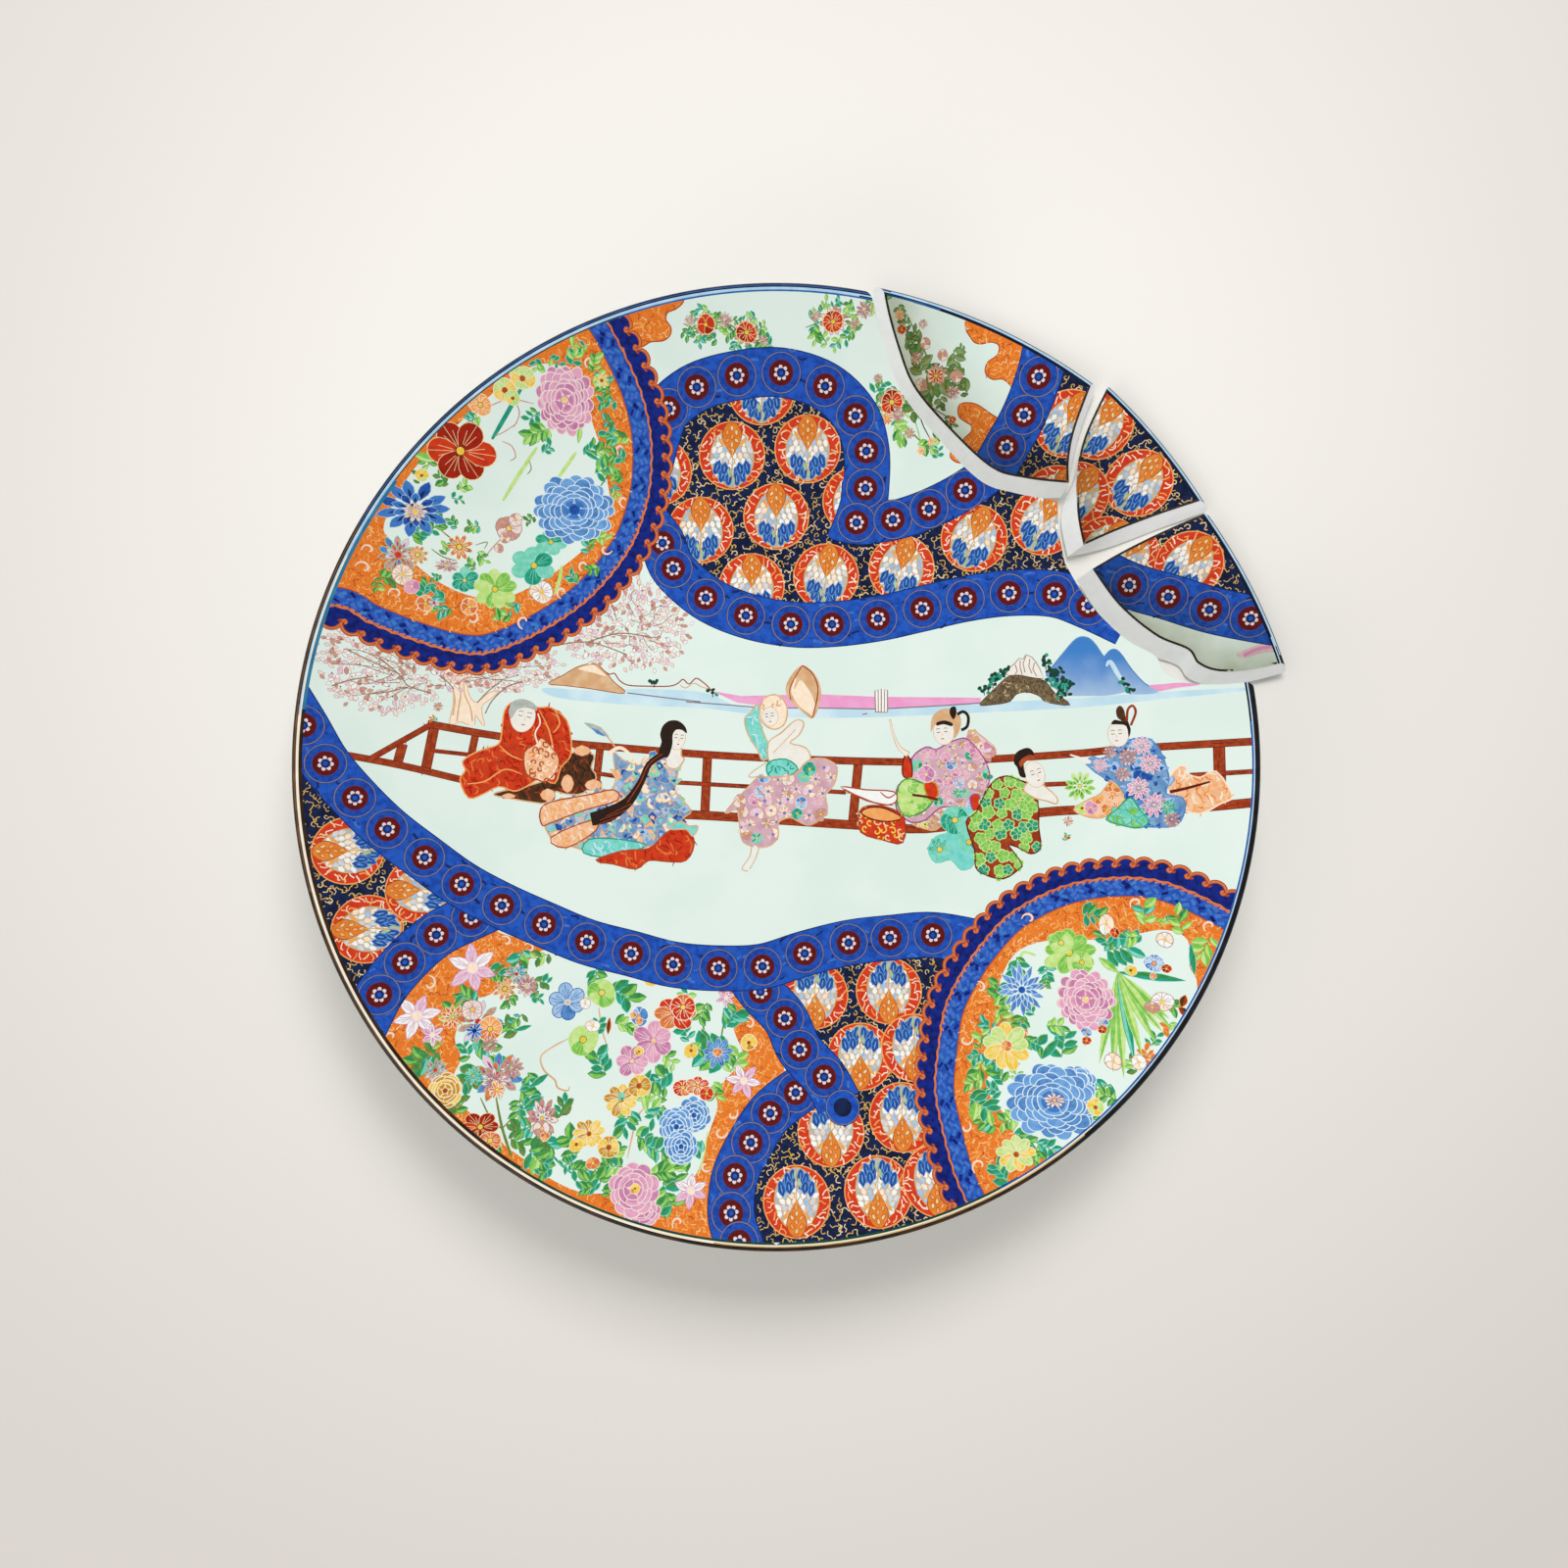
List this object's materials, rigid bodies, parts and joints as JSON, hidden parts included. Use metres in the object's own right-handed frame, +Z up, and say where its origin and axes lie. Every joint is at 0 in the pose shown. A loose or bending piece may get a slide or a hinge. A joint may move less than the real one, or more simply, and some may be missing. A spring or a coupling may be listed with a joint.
{
  "type": "broken porcelain plate",
  "caption": "Large round glazed porcelain dish on a foot ring, broken at the rim, with the shards of the missing wedge lying loose beside the gap they left.",
  "frame": {"origin": "on the surface that everything lies on, at the middle of the whole group's box", "axes": "+Z up, out of the painted face; +X and +Y lie in the surface, with the broken wedge between them"},
  "size_m": [0.483, 0.4676, 0.056],
  "materials": {
    "glazed_porcelain": "glossy clear glaze over blue, red, orange, green and gold painting; matt white where it is broken and on the foot"
  },
  "bodies": {
    "root": {"plate_body": "glazed_porcelain", "shard_left": "glazed_porcelain", "shard_middle": "glazed_porcelain", "shard_right": "glazed_porcelain"}
  },
  "joints": []
}
